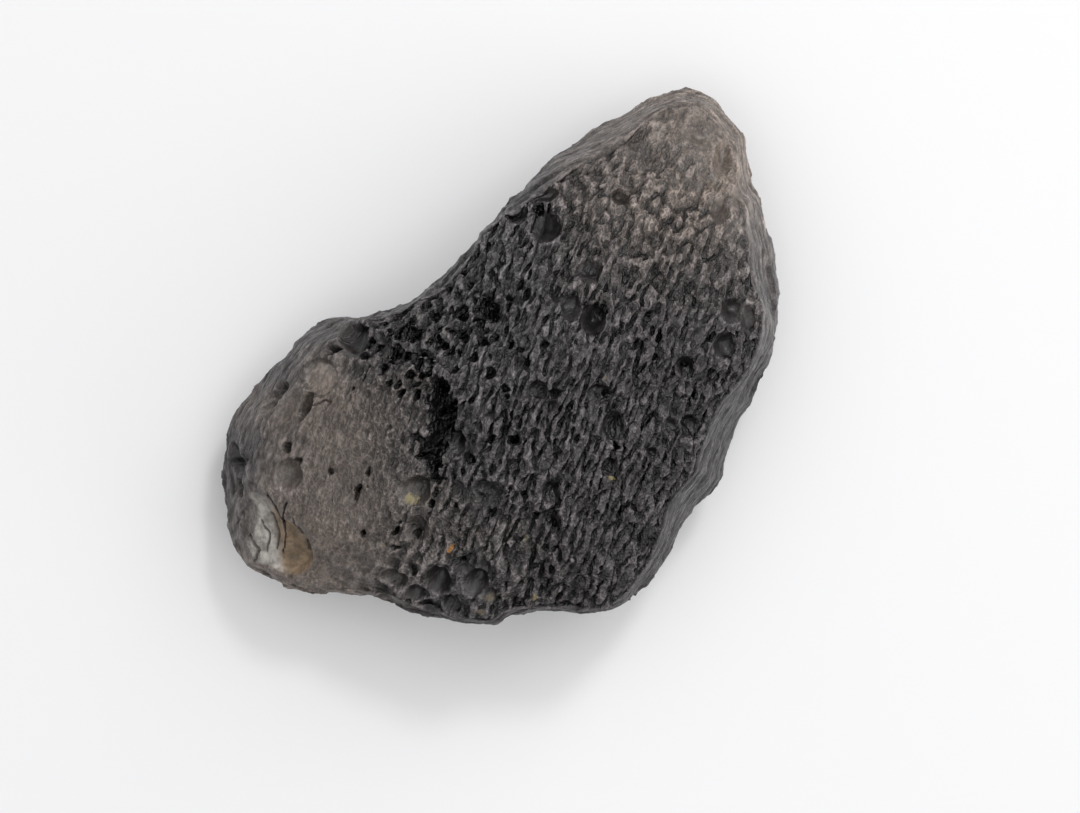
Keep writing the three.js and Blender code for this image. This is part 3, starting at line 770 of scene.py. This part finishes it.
def bitten_skin():
    """The lump with everything bitten out of it, in millimetres: points, faces and what to paint."""
    noise.seed_set(NOISE_SEED)
    points, faces, edges, normals = smooth_skin()
    wavering = points + noise_at(points, WAVY) + noise_at(points, WAVY_FINE)
    ragged = noise_at(points, RAGGED) + noise_at(points, RAGGED_FINE)
    torn = wavering + HOLE_RAGGED * ragged
    up = normals[:, 2]
    from_above = ease(up, *NAMED_PITS)
    skin = skin_at(points, normals)

    broad, waves, coarse, fine = random_relief(points, faces, wavering)
    lumps, clefts, inside_cleft = lumps_and_clefts(points, wavering, skin)
    width, depth = skin[:, COARSE_WIDTH], skin[:, COARSE_DEPTH]
    floor = ease(coarse, FLOOR_STARTS * width * depth, width * depth)
    fine = (fine + lumps + clefts) * (1 - FLOOR_CALM * floor)

    bowls, pans, rims, lips, smooth = (values * from_above for values in pits_of_the_top(wavering))
    fissure = inside_route(wavering + ragged, FISSURE, FISSURE_BRANCH) * from_above
    from_middle, _, _, own = cells_at(torn, "holes")
    holed = own < skin[:, HOLED] + ease(fissure, *FISSURE_SIDES)
    cell_holes = CELL_HOLE_DEPTH * ease(from_middle, *CELL_HOLE) * holed * (1 - smooth)
    holes = np.maximum(holes_of_the_top(torn) * from_above, cell_holes)
    holes += FISSURE_DEPTH * ease(fissure, *FISSURE_FLOOR)
    holes += ease(fissure, *FISSURE_SIDES) * inside_cleft * FISSURE_CLEFTS

    face = ease(ellipse_away(wavering, SMOOTH_FACE), *FACE_EDGE) * from_above
    small = waves * skin[:, WAVED] * (1 - FACE_CALM * face) + coarse + fine
    small += smooth * (smoothed(small, edges, rounds=40) - small)
    gritty = skin[:, GRIT] * (1 - smooth)
    grit = noise_at(points, GRITTY)[:, 0] * gritty
    sunk = broad + small + bowls + pans + holes + grit
    points, chip = chipped(points - normals * sunk[:, None])

    crack = inside_route(wavering, CRACK, CRACK_BRANCH) * from_above
    ledges = inside_route(wavering + LEDGE_RAGGED * ragged, *LEDGES) * from_above
    steps = CRACK_DEPTH * ease(crack, 0, 1) + LEDGE_DEPTH * ease(ledges, 0, 1)
    points = points - normals * steps[:, None]
    points[:, 2] = np.maximum(points[:, 2], 0)

    # Painted shade: the hollows, holes, fissure, named bowls and pans' rims are painted darker, and the
    # ridges between the small pits and the bowls' lips lighter, as painted highlight.
    hollow = small + holes + BOWL_DARK * bowls + RIM_DARK * rims - LIP_LIGHT * lips
    hollow -= smoothed(small, edges, rounds=20)
    # Painted shade in the broad hollows, and painted light on the broad rises between them.
    bowl = smoothed(small + bowls, edges, rounds=10)
    return points, faces, {
        "hollow": hollow * (1 - FLANK_LOSS * ease(up, *FLANK_PAINT)),
        "bowl": bowl - smoothed(bowl, edges, rounds=150),
        "gritty": gritty,
        "crack": crack,
        "ledge": ledges,
        "chip": ease(chip, 0, CHIP_BARE),
        "side": ease(up, *SIDE_PAINT),
    }


def mesh_piece(name, points, faces):
    mesh = bpy.data.meshes.new(name)
    mesh.from_pydata((points * MM).tolist(), [], faces.tolist())
    mesh.update()
    piece = bpy.data.objects.new(name, mesh)
    bpy.context.scene.collection.objects.link(piece)
    return piece


def store(piece, name, values):
    """Keeps a number for each point, for the material to read."""
    attribute = piece.data.attributes.new(name, "FLOAT", "POINT")
    attribute.data.foreach_set("value", np.asarray(values, np.float32))


def points_of(piece):
    places = np.empty(len(piece.data.vertices) * 3)
    piece.data.vertices.foreach_get("co", places)
    return places.reshape(-1, 3) / MM


def thin_out(piece, most):
    """Leaves only that many triangles, where the shape needs them most."""
    decimate = piece.modifiers.new("thin out", "DECIMATE")
    decimate.ratio = most / len(piece.data.polygons)
    evaluated = piece.evaluated_get(bpy.context.evaluated_depsgraph_get())
    thinned = bpy.data.meshes.new_from_object(evaluated)
    piece.modifiers.clear()
    piece.data = thinned


# ---- The glass ----

# Base colours, as linear red, green and blue.
DEEP_GLASS = (0.009, 0.007, 0.009)
# The pale colours are partly the glass's own tone and partly painted sheen and light, on the tip and the
# right-hand edge that face the lamps.
PALE_GREY = (0.200, 0.196, 0.195)
PALE_BROWN = (0.215, 0.168, 0.135)
# Added on the ridges between the hollows: partly worn grey, partly painted highlight.
WORN_AND_HIGHLIGHT_GREY = (0.034, 0.031, 0.032)
# The chip's bare faces: pale grey, painted for the sheen of the shiny face, and brown, painted for light
# through the thin glass.
CHIP_GREY = (0.380, 0.355, 0.325)
CHIP_BROWN = (0.190, 0.135, 0.085)
# The crack's own dark brown, also used as painted shade along the ledges.
CRACK_AND_SHADE_BROWN = (0.012, 0.003, 0.002)
SPECK_COLOURS = dict(sediment=(0.24, 0.20, 0.095), silt=(0.15, 0.12, 0.08), rust=(0.60, 0.28, 0.07))
# A speck is as high as the highest point of the skin that is this near to it.
SPECK_NEAR = 0.3
# The chip turns from grey to brown where x and this share of y add up to this.
BROWN_LEAN, BROWN_FROM = 0.15, (-20.4, -19.6)

# Small pits, and layers of the sides, for the shading only: how far apart they are across, along
# and into the skin, and how deep, in millimetres.
FINE_CELLS, FINE_HEIGHT = (0.30, 0.85, 0.45), 0.30
GRIT_CELLS, GRIT_HEIGHT = (0.15, 0.26, 0.18), 0.13
STRATA_CELLS, STRATA_HEIGHT = (3.0, 3.0, 0.30), 0.22

# The shading's noises: waves to the millimetre, octaves and roughness.
WANDER, PATCHINESS, SPECK_TEARS = 1.6, 0.9, 2.5
CLOUDS, CHIP_MOTTLES = (0.35, 3.0), (0.8, 4.0, 0.7)
# The streaks across the specks, by x, y and z.
STREAKS = (5.0, 1.5, 1.0)
# How far the wander moves the small pits, and the tears the edges of the specks.
WANDER_REACH, TEAR_REACH = 0.5, 1.6


def specks_on(piece):
    """Each speck's place on the skin, half sizes, turn and colour."""
    places = points_of(piece)
    for x, y, width, length, turn, colour in SPECKS:
        near = np.hypot(places[:, 0] - x, places[:, 1] - y) < SPECK_NEAR
        yield (x, y, places[near, 2].max()), (width, length, 1.0), turn, SPECK_COLOURS[colour]


def tone_glass(piece):
    """Stores how pale and warm the glass is at each point, partly its own tone and partly painted sheen,
    and where the chip is painted brown for light through its thin glass.
    """
    places = points_of(piece)
    pale, warm = (patch_shares(places) @ np.array([p[4:] for p in PATCHES])).T
    store(piece, "brown", ease(places[:, 0] + BROWN_LEAN * places[:, 1], *BROWN_FROM))
    store(piece, "pale", pale)
    store(piece, "warm", warm)


class Nodes:
    """Short names for making and joining a material's nodes."""

    def __init__(self, name):
        self.material = bpy.data.materials.new(name)
        self.material.use_nodes = True
        self.tree = self.material.node_tree
        self.shader = self.tree.nodes["Principled BSDF"]

    def set(self, socket, value):
        """Joins an output to an input, or sets the input to a plain value."""
        if isinstance(value, bpy.types.NodeSocket):
            self.tree.links.new(value, socket)
        else:
            socket.default_value = value

    def new(self, kind, inputs, **settings):
        node = self.tree.nodes.new("ShaderNode" + kind)
        for name, value in settings.items():
            setattr(node, name, value)
        for name, value in inputs.items():
            self.set(node.inputs[name], value)
        return node

    def math(self, operation, a, b):
        return self.new("Math", {0: a, 1: b}, operation=operation).outputs[0]

    def product(self, first, *others):
        for other in others:
            first = self.math("MULTIPLY", first, other)
        return first

    def stored(self, name):
        return self.new("Attribute", {}, attribute_name=name).outputs["Fac"]

    def mix(self, share, a, b, blend="MIX"):
        a, b = ((*colour, 1) if isinstance(colour, tuple) else colour for colour in (a, b))
        return self.new("Mix", {0: share, 6: a, 7: b}, data_type="RGBA", blend_type=blend).outputs[2]

    def ramp(self, value, low, high, to_low=0.0, to_high=1.0):
        inputs = dict(enumerate((value, low, high, to_low, to_high)))
        return self.new("MapRange", inputs, interpolation_type="SMOOTHSTEP").outputs[0]

    def noise(self, vector, scale, detail=2.0, roughness=0.5):
        inputs = {"Vector": vector, "Scale": scale, "Detail": detail, "Roughness": roughness}
        return self.new("TexNoise", inputs).outputs

    def scaled(self, vector, scale, turn=0.0):
        inputs = {"Vector": vector, "Scale": scale, "Rotation": (0, 0, turn)}
        return self.new("Mapping", inputs).outputs[0]

    def times(self, vector, factor):
        return self.new("VectorMath", {0: vector, "Scale": factor}, operation="SCALE").outputs[0]

    def away(self, vector, middle, sizes, turn):
        """How far a place is from the middle of an ellipsoid: 1 on its surface."""
        inputs = {"Vector": vector, "Location": middle, "Scale": sizes}
        inputs["Rotation"] = (0, 0, math.radians(turn))
        inside = self.new("Mapping", inputs, vector_type="TEXTURE").outputs[0]
        return self.new("VectorMath", {0: inside}, operation="LENGTH").outputs["Value"]

    def cells(self, vector, sizes, turn):
        """Bowls that crowd: 0 in the middle of each and about 0.5 on the ridges between them."""
        turned = self.scaled(vector, (1, 1, 1), turn)
        inputs = {"Vector": self.scaled(turned, tuple(1 / size for size in sizes)), "Scale": 1.0}
        node = self.new("TexVoronoi", inputs, feature="F1")
        return self.math("POWER", node.outputs["Distance"], 2.0)


def add_relief(nodes, place, fine, grit, strata):
    """Shades the small pits and the strata, which the mesh is too coarse for."""
    pits = nodes.product(fine, FINE_HEIGHT * MM)
    pits = nodes.math("ADD", pits, nodes.product(grit, GRIT_HEIGHT * MM))
    patchy = nodes.ramp(nodes.noise(place, PATCHINESS)["Fac"], 0.35, 0.65, 0.5, 1.2)
    pits = nodes.product(pits, nodes.stored("gritty"), patchy)
    layers = nodes.product(strata, STRATA_HEIGHT * MM, nodes.stored("side"))
    bump = nodes.new("Bump", {"Height": nodes.math("ADD", pits, layers), "Distance": 1.0})
    nodes.set(nodes.shader.inputs["Normal"], bump.outputs[0])


def glass_colour(nodes, place, wander):
    """The glass's colour, with worn grey and painted highlight on its ridges, before the painted shade
    darkens its hollows; and how pale it is, partly painted sheen.
    """
    clouds = nodes.ramp(nodes.noise(place, *CLOUDS)["Fac"], 0.35, 0.65, 0.80, 1.20)
    mottles = nodes.ramp(wander["Fac"], 0.3, 0.7, 0.88, 1.12)
    pale = nodes.product(nodes.stored("pale"), nodes.product(clouds, mottles))
    paled = nodes.mix(nodes.stored("warm"), PALE_GREY, PALE_BROWN)
    # Worn grey and painted highlight on the ridges between the hollows.
    worn = nodes.ramp(nodes.stored("hollow"), 0.03, -0.07)
    return nodes.mix(worn, nodes.mix(pale, DEEP_GLASS, paled), WORN_AND_HIGHLIGHT_GREY, "ADD"), pale


def painted_shade_and_light(nodes, pale, pits, strata):
    """Painted shade and light: how much darker the colour is painted in the hollows, the small pits and
    the strata's grooves, and how much lighter on the ridges and lips between them.
    """
    gritty = nodes.stored("gritty")
    hollow = nodes.ramp(nodes.stored("hollow"), -0.10, 0.10, 1.5, 0.08)
    light = nodes.product(hollow, nodes.ramp(nodes.stored("bowl"), -0.3, 0.3, 1.3, 0.6))
    depth = nodes.ramp(gritty, 0.0, 0.8, 0.4, 1.0)
    depth = nodes.product(depth, nodes.ramp(pale, 0.1, 0.6, 1.0, 0.65))
    grain = nodes.ramp(pits, 0.2, 1.2, 0.45, 1.9)
    grain = nodes.math("POWER", grain, nodes.ramp(gritty, 0.3, 0.8, 0.5, 1.15))
    lines = nodes.math("POWER", nodes.ramp(strata, 0.05, 0.5, 0.75, 1.6), nodes.stored("side"))
    return nodes.product(nodes.math("POWER", light, depth), nodes.product(grain, lines))


def with_breaks(nodes, place, colour):
    """The colour with the chip's painted sheen and painted light through its thin glass, the ledges'
    painted shade and the crack laid over it.
    """
    # Painted sheen and painted light through the thin glass on the chip's bare faces.
    bare = nodes.mix(nodes.stored("brown"), CHIP_GREY, CHIP_BROWN)
    mottled = nodes.ramp(nodes.noise(place, *CHIP_MOTTLES)["Fac"], 0.3, 0.7, 0.45, 1.4)
    colour = nodes.mix(nodes.stored("chip"), colour, nodes.times(bare, mottled))
    # The ledges get painted shade along their steps, and the crack its own dark colour.
    for name, ends in (("ledge", (0.0, 0.6, 0.0, 0.75)), ("crack", (0.0, 0.3))):
        colour = nodes.mix(nodes.ramp(nodes.stored(name), *ends), colour, CRACK_AND_SHADE_BROWN)
    return colour


def with_specks(nodes, place, colour, piece):
    """The colour with the specks laid over it, streaked and with torn edges."""
    streaks = nodes.noise(nodes.scaled(place, STREAKS), 1.0)["Fac"]
    cover = nodes.ramp(streaks, 0.35, 0.6, 0.2, 0.9)
    torn = nodes.math("SUBTRACT", nodes.noise(place, SPECK_TEARS)["Fac"], 0.5)
    torn = nodes.product(torn, TEAR_REACH)
    for middle, sizes, turn, speck in specks_on(piece):
        away = nodes.math("ADD", nodes.away(place, middle, sizes, turn), torn)
        colour = nodes.mix(nodes.product(nodes.ramp(away, 1.0, 0.6), cover), colour, speck)
    return colour


def glass_material(piece):
    nodes = Nodes("tektite_glass")
    place = nodes.scaled(nodes.new("TexCoord", {}).outputs["Object"], (1 / MM,) * 3)
    wander = nodes.noise(place, WANDER)
    inputs = {0: wander["Color"], 1: (WANDER_REACH,) * 3, 2: place}
    warped = nodes.new("VectorMath", inputs, operation="MULTIPLY_ADD").outputs[0]
    lean = math.atan2(TOP_GRAIN[0], TOP_GRAIN[1])
    fine, grit = (nodes.cells(warped, sizes, lean) for sizes in (FINE_CELLS, GRIT_CELLS))
    strata = nodes.cells(warped, STRATA_CELLS, 0.0)
    add_relief(nodes, place, fine, grit, strata)

    colour, pale = glass_colour(nodes, place, wander)
    # The colour gets painted shade in the hollows, small pits and strata, and painted light on the
    # ridges between them.
    light = painted_shade_and_light(nodes, pale, nodes.math("ADD", fine, grit), strata)
    colour = with_breaks(nodes, place, nodes.times(colour, light))
    roughness = nodes.ramp(nodes.stored("gritty"), 0.0, 1.0, 0.38, 0.27)
    nodes.set(nodes.shader.inputs["Base Color"], with_specks(nodes, place, colour, piece))
    nodes.set(nodes.shader.inputs["Roughness"], roughness)
    nodes.shader.inputs["IOR"].default_value = 1.5
    return nodes.material


def make_tektite():
    points, faces, painted = bitten_skin()
    piece = mesh_piece("tektite_skin", points, faces)
    for name, values in painted.items():
        store(piece, name, values)
    thin_out(piece, MOST_TRIANGLES)
    tone_glass(piece)
    for polygon in piece.data.polygons:
        polygon.use_smooth = True
    piece.data.materials.append(glass_material(piece))
    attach(piece, "root")
    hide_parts("tektite")


# ---- The table, the light and the camera ----

CAMERA_PLACE = (3.12, -4.0, 300.0)
# 3,650 pixels of the 1,080 across are as long as the lens, on Blender's 36 mm sensor.
CAMERA_LENS = 3650 / 1080 * 36
FLOOR_DROP = 0.02
FLOOR_SIZE = 3000.0
PAPER = (0.86, 0.86, 0.87)

LIGHT_DISTANCE = 650.0
# The lights: name, bearing from +X and height above the table in degrees, size, and share.
LIGHTS = (
    ("key", 62, 52, 100, 0.14),
    ("window", 45, 35, 450, 0.16),
    ("side", 350, 20, 450, 0.08),
)
# The white room's brightness by height: sine of the height above the horizon, brightness.
ROOM = (
    (0, 0.5), (0.1, 0.4), (0.25, 0.14), (0.5, 0.26), (0.7, 0.65), (0.94, 1.6), (0.975, 1.4),
    (0.99, 0.4),
)
BRIGHTEST = 1.6


def make_floor():
    half = FLOOR_SIZE / 2
    corners = np.array([(-half, -half, -FLOOR_DROP), (half, -half, -FLOOR_DROP)])
    corners = np.vstack([corners, corners[::-1] * (1, -1, 1)])
    floor = mesh_piece("paper", corners, np.array([(0, 1, 2, 3)]))
    paper = Nodes("paper")
    paper.shader.inputs["Base Color"].default_value = (*PAPER, 1)
    paper.shader.inputs["Roughness"].default_value = 0.8
    floor.data.materials.append(paper.material)


def make_world():
    """A white room, whose brightness changes with the height only."""
    world = bpy.data.worlds.new("white room")
    world.use_nodes = True
    nodes, join = world.node_tree.nodes, world.node_tree.links.new
    background = nodes["Background"]
    place = nodes.new("ShaderNodeTexCoord")
    split = nodes.new("ShaderNodeSeparateXYZ")
    ramp = nodes.new("ShaderNodeValToRGB")
    for _ in ROOM[2:]:
        ramp.color_ramp.elements.new(1.0)
    for stop, (height, bright) in zip(ramp.color_ramp.elements, ROOM):
        stop.position = height
        stop.color = (bright / BRIGHTEST,) * 3 + (1,)
    join(place.outputs["Generated"], split.inputs["Vector"])
    join(split.outputs["Z"], ramp.inputs["Fac"])
    join(ramp.outputs["Color"], background.inputs["Color"])
    background.inputs["Strength"].default_value = BRIGHTEST
    bpy.context.scene.world = world


def make_light(name, bearing, height, size, share):
    """A square soft light, turned at the lump, that gives that share of the paper's light."""
    direction = Vector(facing(bearing, 90 - height))
    lamp = bpy.data.objects.new(name, bpy.data.lights.new(name, "AREA"))
    lamp.data.size = size * MM
    lamp.data.energy = share * (math.pi * LIGHT_DISTANCE * MM) ** 2 / direction.z
    lamp.location = direction * LIGHT_DISTANCE * MM
    lamp.rotation_mode = "QUATERNION"
    lamp.rotation_quaternion = direction.to_track_quat("Z", "Y")
    bpy.context.scene.collection.objects.link(lamp)


def make_camera():
    camera = bpy.data.objects.new("camera", bpy.data.cameras.new("camera"))
    camera.location = Vector(CAMERA_PLACE) * MM
    camera.data.lens = CAMERA_LENS
    camera.data.clip_start = 0.01
    bpy.context.scene.collection.objects.link(camera)
    bpy.context.scene.camera = camera


make_camera()
make_world()
make_floor()
for light in LIGHTS:
    make_light(*light)
make_tektite()
bpy.context.scene.view_settings.view_transform = "Standard"
